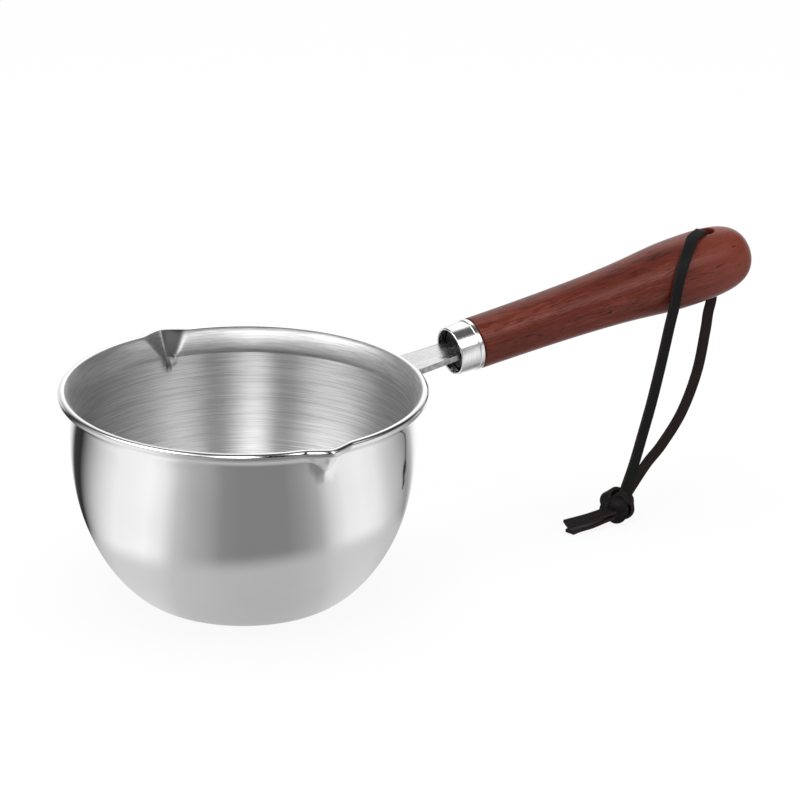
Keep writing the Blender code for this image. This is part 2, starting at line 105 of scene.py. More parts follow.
# The level way from the photograph's camera, which stays put in other views, and the tone overhead
AWAY_FROM_CAMERA = (0.515, 0.857)
ZENITH = (0.12, 0.12, 0.12)


# Sizes and colours
def length(name, description, default):
    return bpy.props.FloatProperty(
        name=name, description=description, default=default, unit="LENGTH", precision=5,
    )


def angle(name, description, turned):
    return bpy.props.FloatProperty(
        name=name, description=description, default=radians(turned), subtype="ANGLE",
    )


def colour(name, description, default):
    return bpy.props.FloatVectorProperty(
        name=name, description=description, default=default, subtype="COLOR", size=3, min=0.0, max=1.0,
    )


class PotSizes(bpy.types.PropertyGroup):
    height: length("Height", "From the table to the lip's crest", 70.0 * MM)
    rim_radius: length("Rim radius", "Out to the lip's edge", 60.0 * MM)
    throat_radius: length("Throat radius", "Of the neck under the flare", 55.7 * MM)
    base_radius: length("Base radius", "Of the flat base", 31.5 * MM)
    base_curve: length("Base curve", "How far the base runs on level before the wall rises", 4.3 * MM)
    belly_radius: length("Belly radius", "The radius that the wall's curve leans towards", 59.8 * MM)
    belly_height: length("Belly height", "The height that the wall's curve leans towards", 19.3 * MM)
    sheet: length("Sheet", "Thickness of the pressed steel", 1.0 * MM)
    lip_height: length("Lip height", "From the throat up to the crest of the lip", 5.8 * MM)
    neck_height: length("Neck height", "Of the straight neck under the flare", 2.2 * MM)
    roll_radius: length("Roll radius", "Of the bead that the lip's edge is rolled into", 1.4 * MM)
    roll_foot: angle("Roll foot", "Where the outer flare meets the bead, round from +X", -125.0)
    roll_top: angle("Roll top", "Where the inner flare leaves the bead, round from +X", 115.0)
    spout_turn: angle("Spout turn", "How far the spouts are off square to the handle", -2.1)
    spout_length: length("Spout length", "From the lip's crest down to the point of the V", 11.7 * MM)
    spout_half_width: length("Spout half width", "Of the V at the lip", 7.5 * MM)
    spout_point: length("Spout point", "Half width of the V at its point", 1.0 * MM)
    spout_reach: length("Spout reach", "Past the round lip, at the end of the V's ridge", 3.3 * MM)
    columns: bpy.props.IntProperty(name="Columns", description="Faces round the pot", default=320, min=32)


class HandleSizes(bpy.types.PropertyGroup):
    below_rim: length("Below rim", "From the lip's crest down to where the handle's line starts", 12.25 * MM)
    rise: angle("Rise", "Of the handle's line", 7.6)
    ferrule_start: length("Ferrule start", "Along the handle's line", 78.7 * MM)
    ferrule_length: length("Ferrule length", "Along the handle's line", 8.7 * MM)
    ferrule_front: length("Ferrule front radius", "At its open end", 8.13 * MM)
    ferrule_back: length("Ferrule back radius", "Before its bead", 8.45 * MM)
    ferrule_bead: length("Bead radius", "Of the ring round the ferrule's back", 8.75 * MM)
    ferrule_bead_length: length("Bead length", "Of the ring round the ferrule's back", 1.8 * MM)
    ferrule_wall: length("Ferrule wall", "Thickness of the collar", 0.8 * MM)
    ferrule_recess: length("Ferrule recess", "From its open end to the wood", 2.8 * MM)
    grip_length: length("Grip length", "Of the wood behind the ferrule", 109.8 * MM)
    neck_radius: length("Grip neck radius", "Next to the ferrule", 8.72 * MM)
    waist_radius: length("Grip waist radius", "The radius that the shaft leans towards", 8.92 * MM)
    waist_run: length("Grip waist run", "How far along it leans there", 73.0 * MM)
    belly_radius: length("Grip belly radius", "At its thickest", 12.08 * MM)
    belly_run: length("Grip belly run", "How far before the belly the curve levels", 23.0 * MM)
    belly_to_tip: length("Grip belly to tip", "Along the handle's line", 23.2 * MM)
    end_run: length("Grip end run", "How far past the belly the curve stays full", 16.4 * MM)
    end_radius: length("Grip end radius", "How full the rounded tip is", 10.1 * MM)
    hole_from_tip: length("Hole from tip", "Along the handle's line", 14.9 * MM)
    hole_radius: length("Hole radius", "Of the hole for the thong", 2.85 * MM)
    hole_mouth: length("Hole mouth", "Radius of the eased edge of the hole", 1.0 * MM)


class ThongSizes(bpy.types.PropertyGroup):
    width: length("Width", "Of the flat leather strip", 3.9 * MM)
    thickness: length("Thickness", "Of the flat leather strip", 1.3 * MM)
    lift: length("Lift", "Between the strip and the wood that it lies on", 0.12 * MM)
    knot_radius: length("Knot radius", "From the middle of the knot to its outer bends", 5.9 * MM)
    step: length("Step", "Between the strip's sections", 0.7 * MM)


class Finishes(bpy.types.PropertyGroup):
    steel: colour("Steel", "Bare stainless steel", (0.86, 0.86, 0.86))
    brushed_steel: colour("Brushed steel", "Inside the pot", (0.80, 0.80, 0.80))
    wood: colour("Wood", "The grip's main colour", (0.104, 0.0150, 0.0066))
    wood_dark: colour("Dark wood", "Its darker grain and pores", (0.038, 0.0065, 0.0036))
    wood_light: colour("Light wood", "Its paler grain", (0.165, 0.036, 0.0220))
    leather: colour("Leather", "The grain side of the thong", (0.0049, 0.0041, 0.0043))
    flesh_side: colour("Flesh side", "The back of the thong", (0.0165, 0.0105, 0.0095))
    cut_edge: colour("Cut edge", "The cut sides of the thong", (0.024, 0.016, 0.015))


class StageSettings(bpy.types.PropertyGroup):
    camera_turn: angle("Camera turn", "Round the object from the -Y side", -30.95)
    camera_rise: angle("Camera rise", "Above the table", 20.84)
    camera_roll: angle("Camera roll", "About its own line of sight", 0.5)
    camera_distance: length("Camera distance", "From what it looks at", 1.5)
    target_aside: length("Target aside", "From the pot's axis across the picture", 50.57 * MM)
    target_above: length("Target above", "From there up the picture", 22.50 * MM)
    target_height: length("Target height", "From the table to the level that both start at", 42.03 * MM)
    lens: bpy.props.FloatProperty(
        name="Lens", description="Focal length on a 36 mm sensor", default=207.7, unit="CAMERA",
    )


# Nodes
class Value:
    """One socket, which Python's own operators turn into Math nodes."""

    def __init__(self, nodes, socket):
        self.nodes, self.socket = nodes, socket

    def maths(self, operation, *others):
        return self.nodes.maths(operation, self, *others)

    def __add__(self, other):
        return self.maths("ADD", other)

    def __sub__(self, other):
        return self.maths("SUBTRACT", other)

    def __mul__(self, other):
        return self.maths("MULTIPLY", other)

    def __truediv__(self, other):
        return self.maths("DIVIDE", other)

    def __pow__(self, other):
        return self.maths("POWER", other)

    def __neg__(self):
        return self.maths("MULTIPLY", -1.0)

    def __rsub__(self, other):
        return self.nodes.maths("SUBTRACT", other, self)

    __radd__ = __add__


class Nodes:
    """Adds nodes to one tree, of a material, the world or a shape."""

    def __init__(self, tree):
        self.tree = tree
        tree.nodes.clear()

    def add(self, kind, settings=None, values=None, out=0):
        """One node: its settings first, then its sockets' values or links. Returns one output."""
        node = self.tree.nodes.new(kind)
        for name, setting in (settings or {}).items():
            if name == "stops":
                self.set_stops(node.color_ramp, setting)
            else:
                setattr(node, name, setting)
        for name, value in (values or {}).items():
            if isinstance(value, Value):
                self.tree.links.new(value.socket, node.inputs[name])
            else:
                node.inputs[name].default_value = value
        return Value(self, node.outputs[out]) if len(node.outputs) else None

    def set_stops(self, ramp, stops):
        while len(ramp.elements) < len(stops):
            ramp.elements.new(0.5)
        for element, (place, tone) in zip(ramp.elements, stops):
            element.position = place
            element.color = (*tone, 1.0) if hasattr(tone, "__len__") else (tone, tone, tone, 1.0)

    def maths(self, operation, *operands):
        return self.add("ShaderNodeMath", {"operation": operation}, dict(enumerate(operands)))

    def smooth(self, value, low, high, to_low=0.0, to_high=1.0):
        """The value's smooth step from low to high."""
        names = {"Value": value, "From Min": low, "From Max": high, "To Min": to_low, "To Max": to_high}
        return self.add("ShaderNodeMapRange", {"interpolation_type": "SMOOTHSTEP"}, names)

    def mix(self, amount, first, second):
        """A colour mixed from two."""
        opaque = [tone if isinstance(tone, Value) else (*tone, 1.0) for tone in (first, second)]
        values = {0: amount, 6: opaque[0], 7: opaque[1]}
        return self.add("ShaderNodeMix", {"data_type": "RGBA"}, values, out=2)

    def ramp(self, value, stops):
        return self.add("ShaderNodeValToRGB", {"stops": stops}, {"Fac": value})

    def noise(self, place, scale, detail, roughness):
        values = {"Vector": place, "Scale": scale, "Detail": detail, "Roughness": roughness}
        return self.add("ShaderNodeTexNoise", None, values)

    def grain(self, directions, cycles, detail, roughness=0.6):
        """Noise with its own number of cycles in each direction."""
        scaled = [direction * count for direction, count in zip(directions, cycles)]
        return self.noise(self.combine(*scaled), 1.0, detail, roughness)

    def bump(self, height, strength):
        values = {"Strength": strength, "Distance": BUMP_DEPTH, "Height": height}
        return self.add("ShaderNodeBump", None, values)

    def mapped(self, place, scale=(1.0, 1.0, 1.0), turn=(0.0, 0.0, 0.0), shift=(0.0, 0.0, 0.0)):
        values = {"Vector": place, "Location": shift, "Rotation": turn, "Scale": scale}
        return self.add("ShaderNodeMapping", None, values)

    def on_piece(self):
        return self.add("ShaderNodeTexCoord", out="Object")

    def attribute(self, name):
        return self.add("ShaderNodeAttribute", {"attribute_name": name}, out="Fac")

    def combine(self, x, y, z):
        return self.add("ShaderNodeCombineXYZ", None, {0: x, 1: y, 2: z})

    def parts(self, vector):
        made = self.add("ShaderNodeSeparateXYZ", None, {0: vector})
        return [Value(self, socket) for socket in made.socket.node.outputs]


def new_material(name):
    made = bpy.data.materials.new(name)
    made.use_nodes = True
    return made, Nodes(made.node_tree)


def finish_material(nodes, **values):
    """The shader and the output. Names are the shader's sockets, with _ for a space."""
    named = {name.replace("_", " "): value for name, value in values.items()}
    shader = nodes.add("ShaderNodeBsdfPrincipled", None, named)
    nodes.add("ShaderNodeOutputMaterial", None, {"Surface": shader})


def times(factor, tone):
    return tuple(factor * part for part in tone)


# Finishes
def round_pot(nodes, place):
    """The angle round the pot's axis, the distance from it and the height."""
    x, y, z = nodes.parts(place)
    return nodes.maths("ARCTAN2", x, y), (x * x + y * y).maths("SQRT"), z


def steel_outside(tone):
    """Polished sheet: fine rubbed lines round it, and faint waves from the press.

    The flare's inner face and one face of each V are painted darker, as the photograph shows them.
    On real steel that is a reflection, which moves with the viewer.
    """
    made, nodes = new_material("polished_steel")
    place = nodes.on_piece()
    lines = nodes.grain(round_pot(nodes, place), (6.0, 900.0, 2600.0), 3.0)
    cloud = nodes.noise(place, 45.0, 3.0, 0.5)
    satin_and_painted_reflection = nodes.smooth(nodes.attribute("inner"), 0.1, 0.5)
    colour_of = nodes.mix(nodes.smooth(cloud, 0.3, 0.7), times(0.96, tone), tone)
    # The flare's inner face is satin, and its colour is darkened as a painted reflection.
    colour_of = nodes.mix(satin_and_painted_reflection * nodes.smooth(lines, 0.2, 0.8, 0.5, 1.0), colour_of, times(0.45, tone))
    # One face of each V: a painted dark reflection.
    colour_of = nodes.mix(satin_and_painted_reflection * nodes.attribute("folded"), colour_of, times(0.07, tone))
    rough = 0.055 + lines * 0.03 + cloud * 0.02 + satin_and_painted_reflection * 0.4
    bump = nodes.bump(lines, 0.035)
    finish_material(nodes, Base_Color=colour_of, Metallic=1.0, Roughness=rough, Normal=bump)
    return made


def steel_inside(tone):
    """Brushed sheet: lines round the pot that spread what it mirrors. One face of each V has a painted dark
    reflection.
    """
    made, nodes = new_material("brushed_steel")
    where = round_pot(nodes, nodes.on_piece())
    fine = nodes.grain(where, (4.0, 4000.0, 6500.0), 2.0)
    broad = nodes.grain(where, (1.5, 1300.0, 2300.0), 2.0)
    streaks = fine * 0.65 + broad * 0.35
    colour_of = nodes.mix(nodes.smooth(streaks, 0.36, 0.64), times(0.66, tone), tone)
    # One face of each V: a painted dark reflection.
    colour_of = nodes.mix(nodes.attribute("folded"), colour_of, times(0.2, tone))
    round_about = nodes.add("ShaderNodeTangent", {"direction_type": "RADIAL", "axis": "Z"})
    finish_material(
        nodes, Base_Color=colour_of, Metallic=1.0, Roughness=0.40 + streaks * 0.12,
        Normal=nodes.bump(streaks, 0.5), Anisotropic=0.97, Anisotropic_Rotation=0.25, Tangent=round_about,
    )
    return made


def steel_bar(tone, rise):
    """Satin strip, with a faint mottle, lines along it and rough sheared sides."""
    made, nodes = new_material("satin_steel")
    place = nodes.on_piece()
    lines = nodes.noise(nodes.mapped(place, (150.0, 2500.0, 2500.0), (0.0, rise, 0.0)), 1.0, 2.0, 0.6)
    mottle = nodes.noise(place, 600.0, 3.0, 0.6)
    side = nodes.attribute("side")
    rolled = nodes.mix(nodes.smooth(mottle, 0.35, 0.65), times(0.66, tone), times(0.74, tone))
    sheared = nodes.mix(nodes.smooth(mottle, 0.3, 0.7), times(0.32, tone), times(0.62, tone))
    finish_material(
        nodes, Base_Color=nodes.mix(side, rolled, sheared), Metallic=1.0,
        Roughness=0.22 + mottle * 0.12 + side * 0.15, Normal=nodes.bump(lines + mottle, 0.08),
    )
    return made


def steel_ferrule(tone, rise):
    """Turned collar: fine lines round the handle's line."""
    made, nodes = new_material("turned_steel")
    along = nodes.mapped(nodes.on_piece(), (4200.0, 90.0, 90.0), (0.0, rise, 0.0))
    lines = nodes.noise(along, 1.0, 2.0, 0.6)
    colour_of = nodes.mix(nodes.smooth(lines, 0.35, 0.65), times(0.9, tone), tone)
    rough = 0.11 + lines * 0.08
    bump = nodes.bump(lines, 0.1)
    finish_material(nodes, Base_Color=colour_of, Metallic=1.0, Roughness=rough, Normal=bump)
    return made


def oiled_wood(tones, rise, lift, painted_shade_until):
    """Reddish wood: bands and streaks along the grip, open pores and a thin film of oil.

    It is paler towards the tip. Its end in the ferrule is painted near black, as painted shade in the
    ferrule's hollow.
    """
    wood, dark, light = tones
    made, nodes = new_material("oiled_wood")
    shift = (-lift * sin(rise), 0.0, -lift * cos(rise))
    x, y, z = nodes.parts(nodes.mapped(nodes.on_piece(), turn=(0.0, rise, 0.0), shift=shift))
    wander = nodes.grain((x, y, z), (9.0, 30.0, 30.0), 2.0, 0.5)
    layers = nodes.grain((x + wander * 0.14, y, z), (10.0, 230.0, 230.0), 3.0)
    streaks = nodes.grain((x, y, z), (130.0, 1700.0, 1700.0), 3.0, 0.62)
    pores = nodes.grain((x, y, z), (210.0, 2900.0, 2900.0), 1.0, 0.5)
    zones = nodes.grain((x, y, z), (16.0, 260.0, 260.0), 2.0, 0.5)
    open_pores = nodes.smooth(pores + zones * 0.35, 0.83, 0.90)
    bands = layers * 0.5 + streaks * 0.5 + nodes.smooth(x, 0.165, 0.20) * 0.05
    colour_of = nodes.ramp(bands, [(0.39, dark), (0.47, wood), (0.53, wood), (0.62, light)])
    colour_of = nodes.mix(nodes.smooth(x, 0.160, 0.190) * 0.6, colour_of, times(1.2, light))
    colour_of = nodes.mix(open_pores * 0.85, colour_of, times(0.45, dark))
    # The tenon's end in the ferrule's hollow: painted shade, near black.
    colour_of = nodes.mix(nodes.smooth(x, painted_shade_until, painted_shade_until + 0.5 * MM), (0.010, 0.009, 0.009), colour_of)
    finish_material(
        nodes, Base_Color=colour_of, Roughness=0.30 + streaks * 0.12 + open_pores * 0.2,
        Normal=nodes.bump(streaks * 0.25 - open_pores, 0.25),
        Specular_IOR_Level=0.20, Coat_Weight=0.04, Coat_Roughness=0.3,
    )
    return made


def soft_leather(tones, width, thickness):
    """Dyed thong: a grained black face, a brown flesh side, and paler cut edges.

    The strap's own UV map runs along it, and round its section from the middle of its face.
    """
    leather, flesh, cut = tones
    made, nodes = new_material("dyed_leather")
    along, around, _ = nodes.parts(nodes.add("ShaderNodeUVMap", {"uv_map": "strap"}))
    out = around.maths("ABSOLUTE")
    face_ends, back_starts = width / 2, width / 2 + thickness
    back = nodes.smooth(out, back_starts - 0.3 * MM, back_starts)
    edge = nodes.smooth(out, face_ends - 0.25 * MM, face_ends) - back
    cells = nodes.add(
        "ShaderNodeTexVoronoi", None,
        {"Vector": nodes.combine(along * 2600.0, around * 1900.0, 0.0), "Scale": 1.0},
    )
    fibres = nodes.grain((along, around, 0.0), (1800.0, 900.0, 1.0), 3.0)
    wear = nodes.grain((along, around, 0.0), (120.0, 260.0, 1.0), 3.0)
    face = nodes.mix(nodes.smooth(wear, 0.45, 0.75) * 0.5, leather, times(1.9, leather))
    colour_of = nodes.mix(back, face, flesh)
    colour_of = nodes.mix(edge * nodes.smooth(fibres, 0.2, 0.6), colour_of, cut)
    finish_material(
        nodes, Base_Color=colour_of, Roughness=0.50 + cells * 0.12 + back * 0.3 + edge * 0.2,
        Normal=nodes.bump(cells * 0.6 + fibres * 0.4, 0.35), Specular_IOR_Level=0.14,
    )
    return made


# Outlines
def bezier(corners, t):
    weights = ((1 - t) ** 3, 3 * (1 - t) ** 2 * t, 3 * (1 - t) * t**2, t**3)
    return tuple(sum(w * corner[i] for w, corner in zip(weights, corners)) for i in (0, 1))


def bezier_run(corners, steps):
    return [bezier(corners, i / steps) for i in range(steps + 1)]


def arc_run(centre, radius, first, last, steps):
    """Points on an arc, from the first to the last of its angles in degrees."""
    turns = [radians(first + (last - first) * i / steps) for i in range(steps + 1)]
    return [(centre[0] + radius * cos(a), centre[1] + radius * sin(a)) for a in turns]


def offset_run(points, distance):
    """The points moved square to the line, to its left."""
    moved = []
    for i, (radius, height) in enumerate(points):
        ahead, behind = points[min(i + 1, len(points) - 1)], points[max(i - 1, 0)]
        across, rise = ahead[0] - behind[0], ahead[1] - behind[1]
        scale = distance / sqrt(across**2 + rise**2)
        moved.append((max(radius - rise * scale, 0.0), height + across * scale))
    return moved


# Turned shapes
FLOAT = {"data_type": "FLOAT"}
TURNED_INPUTS = {
    "Columns": "Int", "Crowding": "Float", "Spout half width": "Float", "Spout point": "Float",
    "Ridge softness": "Float", "Fold softness": "Float", "Turn": "Float",
    "Outer finish": "Material", "Inner finish": "Material",
}
ON_OUTSIDE, ON_BEAD, ON_FLARE, ON_INSIDE = 0.0, 0.2, 0.5, 1.0


def turned_tree():
    """Geometry nodes that turn an outline about Z and press two V spouts into its lip.

    The outline is a mesh of points, (radius, 0, height). Its attributes say how far up the spout
    each point is, from 0 at the V's point to 1 at the lip, how far the middle of the spout is
    pulled out there, and which finish it has.
    """
    tree = bpy.data.node_groups.new("turned_sheet", "GeometryNodeTree")
    tree.interface.new_socket(name="Outline", in_out="INPUT", socket_type="NodeSocketGeometry")
    for name, kind in TURNED_INPUTS.items():
        tree.interface.new_socket(name=name, in_out="INPUT", socket_type="NodeSocket" + kind)
    tree.interface.new_socket(name="Turned piece", in_out="OUTPUT", socket_type="NodeSocketGeometry")
    nodes = Nodes(tree)
    outline = nodes.add("NodeGroupInput")
    given = {socket.name: Value(nodes, socket) for socket in outline.socket.node.outputs if socket.name}

    def named(name):
        return nodes.add("GeometryNodeInputNamedAttribute", FLOAT, {"Name": name}, out="Attribute")

    def sampled(data_type, field):
        values = {"Geometry": outline, "Value": field, "Index": row}
        return nodes.add("GeometryNodeSampleIndex", {"data_type": data_type}, values)

    def stored(geometry, name, value):
        values = {"Geometry": geometry, "Name": name, "Value": value}
        return nodes.add("GeometryNodeStoreNamedAttribute", {**FLOAT, "domain": "POINT"}, values)

    count = nodes.add("GeometryNodeAttributeDomainSize", None, {"Geometry": outline}, out="Point Count")
    columns = given["Columns"]
    grid = nodes.add(
        "GeometryNodeMeshGrid", None,
        {"Size X": 1.0, "Size Y": 1.0, "Vertices X": columns + 1.0, "Vertices Y": count}, out="Mesh",
    )
    index = nodes.add("GeometryNodeInputIndex")
    column = (index / count).maths("FLOOR")
    row = index - column * count
    radius, _, height = nodes.parts(sampled("FLOAT_VECTOR", nodes.add("GeometryNodeInputPosition")))
    level, pulled, inner = [sampled("FLOAT", named(name)) for name in ("level", "pulled", "inner")]
    even = column * (2 * pi) / columns
    around = even - given["Crowding"] * (even * 2.0).maths("SINE") * 0.5
    side = around.maths("COSINE").maths("SIGN")
    sideways = radius * around.maths("SINE")
    outwards = radius * around.maths("COSINE")

    half_width = (given["Spout half width"] * level).maths("MAXIMUM", given["Spout point"])
    soft = given["Ridge softness"] * half_width
    off_middle = (sideways * sideways + soft * soft).maths("SQRT") - soft * 0.5
    tent = 1.0 - off_middle / half_width
    rounded = (tent * tent + given["Fold softness"] ** 2.0).maths("SQRT")
    share_of_pull = (tent + rounded) * 0.5 * nodes.smooth(tent, -3.0, -0.6)
    outwards = outwards + side * pulled * share_of_pull
    turned = nodes.add(
        "ShaderNodeVectorRotate", {"rotation_type": "Z_AXIS"},
        {"Vector": nodes.combine(sideways, outwards, height), "Angle": given["Turn"]},
    )
    # Mask of one face of each V, which the steel finishes darken as a painted reflection.
    one_side = nodes.smooth(sideways, -0.3 * MM, 0.1 * MM)
    near_point = 1.0 - nodes.smooth(level, 0.15, 0.4)
    folded = nodes.smooth(tent, 0.0, 0.25) * level.maths("GREATER_THAN", 0.02)
    folded = folded * one_side.maths("MAXIMUM", near_point)
    placed = nodes.add("GeometryNodeSetPosition", None, {"Geometry": grid, "Position": turned})
    marked = stored(stored(placed, "inner", inner), "folded", folded)
    merged = nodes.add("GeometryNodeMergeByDistance", None, {"Geometry": marked, "Distance": JOINED_WITHIN})
    smooth = nodes.add("GeometryNodeSetShadeSmooth", None, {"Geometry": merged})
    real = nodes.add("GeometryNodeRealizeInstances", None, {"Geometry": smooth})
    outer_finish = {"Geometry": real, "Material": given["Outer finish"]}
    finished = nodes.add("GeometryNodeSetMaterial", None, outer_finish)
    is_inner = named("inner").maths("GREATER_THAN", 0.8 * ON_INSIDE)
    inner_finish = {"Geometry": finished, "Selection": is_inner, "Material": given["Inner finish"]}
    lined = nodes.add("GeometryNodeSetMaterial", None, inner_finish)
    nodes.add("NodeGroupOutput", None, {0: lined})
    return tree


def turned_mesh(name, outline, finishes, levels=None, pulled=None, inner=None, **sizes):
    """A mesh from the turned tree. Sizes are the tree's inputs, with _ for a space."""
    mesh = bpy.data.meshes.new(name)
    edges = [(i, i + 1) for i in range(len(outline) - 1)]
    mesh.from_pydata([(radius, 0.0, height) for radius, height in outline], edges, [])
    for label, given in (("level", levels), ("pulled", pulled), ("inner", inner)):
        attribute = mesh.attributes.new(label, "FLOAT", "POINT")
        attribute.data.foreach_set("value", given or [0.0] * len(outline))
    made = bpy.data.objects.new(name, mesh)
    bpy.context.scene.collection.objects.link(made)
    modifier = made.modifiers.new("turned sheet", "NODES")
    modifier.node_group = bpy.data.node_groups.get("turned_sheet") or turned_tree()
    inputs = {"Columns": 96, "Crowding": 0.0, "Spout half width": 1.0, "Spout point": 1.0}
    inputs.update({label.replace("_", " "): value for label, value in sizes.items()})
    inputs["Outer finish"], inputs["Inner finish"] = finishes[0], finishes[-1]
    for socket in modifier.node_group.interface.items_tree:
        if socket.name in inputs:
            modifier[socket.identifier] = inputs[socket.name]
    finished = evaluated_mesh(made)
    bpy.data.objects.remove(made)
    bpy.data.meshes.remove(mesh)
    return outward_faces(finished)


def evaluated_mesh(made):
    graph = bpy.context.evaluated_depsgraph_get()
    return bpy.data.meshes.new_from_object(made.evaluated_get(graph), depsgraph=graph)


def outward_faces(mesh):
    bm = bmesh.new()
    bm.from_mesh(mesh)
    bmesh.ops.dissolve_degenerate(bm, edges=bm.edges, dist=0.0001 * MM)
    bmesh.ops.recalc_face_normals(bm, faces=bm.faces)
    bm.to_mesh(mesh)
    bm.free()
    return mesh


def add_piece(name, mesh, body, slot, *replaced):
    """A finished piece that rides on a body and stands for CAD nodes."""
    mesh.name = name
    made = bpy.data.objects.new(name, mesh)
    bpy.context.scene.collection.objects.link(made)
    if body:
        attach(made, body)
    if replaced:
        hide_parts(*replaced)
    return made


def merged_copy(node):
    """A copy of a CAD node's mesh with its loose triangles joined."""
    mesh = frame["nodes"][node].data.copy()
    bm = bmesh.new()
    bm.from_mesh(mesh)
    bmesh.ops.remove_doubles(bm, verts=bm.verts, dist=JOINED_WITHIN / 2)
    bm.to_mesh(mesh)
    bm.free()
    mesh.materials.clear()
    return mesh


# The handle's line
def handle_tilt(handle):
    return Matrix.Rotation(-handle.rise, 3, "Y")


def handle_base(pot, handle):
    return Vector((0.0, 0.0, pot.height - handle.below_rim))


def along_handle(mesh, pot, handle):
    """Moves a mesh that was turned about Z onto the handle's line."""
    turn = Matrix.Rotation(pi / 2 - handle.rise, 4, "Y")
    mesh.transform(Matrix.Translation(handle_base(pot, handle)) @ turn)
    return mesh


def handle_point(pot, handle, along, round_from_top, distance):
    """A point near the handle, and the way out from it: the angle goes round to the near side."""
    tilt = handle_tilt(handle)
    outward = tilt @ Vector((0.0, -sin(round_from_top), cos(round_from_top)))
    centre = tilt @ Vector((along, 0.0, 0.0)) + handle_base(pot, handle)
    return centre + outward * distance, outward


def grip_curves(handle):
    start = handle.ferrule_start + handle.ferrule_length + GRIP_GAP
    tip = start + handle.grip_length
    belly = tip - handle.belly_to_tip
    shaft = (
        (handle.neck_radius, start), (handle.waist_radius, start + handle.waist_run),
        (handle.belly_radius, belly - handle.belly_run), (handle.belly_radius, belly),
    )
    end = (
        (handle.belly_radius, belly), (handle.belly_radius, belly + handle.end_run),
        (handle.end_radius, tip), (0.0, tip),
    )
    return shaft, end


def grip_radius_at(handle, along):
    shaft, end = grip_curves(handle)
    curve = end if along > end[0][1] else shaft
    low, high, halvings = 0.0, 1.0, 40
    for _ in range(halvings):
        middle = (low + high) / 2
        if bezier(curve, middle)[1] < along:
            low = middle
        else:
            high = middle
    return bezier(curve, low)[0]


def hole_at(handle):
    return grip_curves(handle)[1][3][1] - handle.hole_from_tip


# The thong's way
def smooth_route(points, step):
    """Points at an even step on one smooth curve through the route's (place, face) points."""
    ends = [points[0]] + list(points) + [points[-1]]
    fine, fine_steps = [], 24
    for before, start, end, after in zip(ends, ends[1:], ends[2:], ends[3:]):
        for i in range(fine_steps):
            t = i / fine_steps
            place = (
                start[0]
                + (end[0] - before[0]) * (t / 2)
                + (before[0] - 2.5 * start[0] + 2 * end[0] - after[0] / 2) * t**2
                + ((after[0] - before[0]) / 2 + 1.5 * (start[0] - end[0])) * t**3
            )
            fine.append((place, start[1].lerp(end[1], t).normalized()))
    fine.append(points[-1])
    lengths = [0.0]
    for (here, _), (there, _) in zip(fine, fine[1:]):
        lengths.append(lengths[-1] + (there - here).length)
    count = max(round(lengths[-1] / step), 2)
    spaced, index = [points[0]], 0
    for i in range(1, count):
        wanted = lengths[-1] * i / count
        while lengths[index + 1] < wanted:
            index += 1
        part = (wanted - lengths[index]) / (lengths[index + 1] - lengths[index])
        spaced.append((fine[index][0].lerp(fine[index + 1][0], part), fine[index][1]))
    spaced.append(points[-1])
    return spaced


def front_route(pot, handle, thong):
    """From inside the hole, up over its mouth, across the grip to the near side and down to the knot."""
    lift = thong.thickness / 2 + thong.lift
    at = hole_at(handle)
    middle, hole_up = handle_point(pot, handle, at, 0.0, 0.0)
    outer_face = Vector((cos(handle.rise), 0.0, sin(handle.rise)))
    turn, in_hole, clear_of_mouth = radians(25), 5.0 * MM, 0.15 * MM
    run = handle.hole_radius + handle.hole_mouth
    mouth_at = at - run * cos(turn)
    mouth_radius = grip_radius_at(handle, mouth_at)
    mouth, mouth_up = handle_point(
        pot, handle, mouth_at, run * sin(turn) / mouth_radius, mouth_radius - handle.hole_mouth,
    )
    fold_face = outer_face * cos(turn) + mouth_up.cross(outer_face) * sin(turn)
    fold = handle.hole_mouth + lift + clear_of_mouth
    route = [(middle, fold_face), (middle + hole_up * in_hole, fold_face)]
    for bend in (0, 35, 70, 100):
        face = fold_face * cos(radians(bend)) + mouth_up * sin(radians(bend))
        route.append((mouth + face * fold, face))
    across_grip = ((-8.0, 17), (-10.3, 27), (-13.4, 40), (-16.7, 55), (-19.4, 72), (-21.2, 90))
    for from_hole, round_grip in across_grip:
        along = at + from_hole * MM
        out = grip_radius_at(handle, along) + lift
        route.append(handle_point(pot, handle, along, radians(round_grip), out))
    hanging = [(159.1, -12.5, 74.2), (157.5, -12.4, 67.6), (155.8, -12.1, 59.2), (153.9, -12.0, 50.9)]
    hanging += [(151.1, -11.9, 39.8), (147.7, -12.0, 28.8), (144.2, -12.7, 19.5), (139.5, -13.8, 9.7)]
    return route + facing(hanging, NEAR)


def back_route(pot, handle):
    """From inside the hole, out of its lower mouth and down to the knot, with its flesh side near."""
    at, in_hole = hole_at(handle), 3.0 * MM
    middle, hole_up = handle_point(pot, handle, at, 0.0, 0.0)
    route = [(middle - hole_up * in_hole, -NEAR), (middle - hole_up * grip_radius_at(handle, at), -NEAR)]
    hanging = [BACK_LEAVES_MM, (181.5, -0.1, 63.4), (180.4, -0.4, 57.2), (176.6, -1.6, 43.3)]
    hanging += [(169.3, -3.8, 30.7), (160.0, -6.1, 21.5), (151.9, -8.4, 16.2), (141.6, -12.0, 8.2)]
    return route + facing(hanging, -NEAR)


def tail_routes():
    """The upper tail and the lower one, from the knot to their ends."""
    upper = [(134.5, -15.2, 5.6), (131.9, -15.4, 5.4), (127.2, -14.9, 4.6), (124.0, -14.3, 4.0)]
    upper += [(116.6, -13.5, 3.3)]
    lower = [(134.5, -14.6, 3.0), (132.5, -14.4, 2.6), (126.6, -13.6, 1.1), (121.3, -14.0, 0.95)]
    lower += [(117.3, -15.0, 0.95)]
    return facing(upper, TAIL_FACE), facing(lower, UP)


def facing(places, face):
    """A route through places in mm, with the strap's face one way."""
    return [(Vector(place) * MM, face) for place in places]


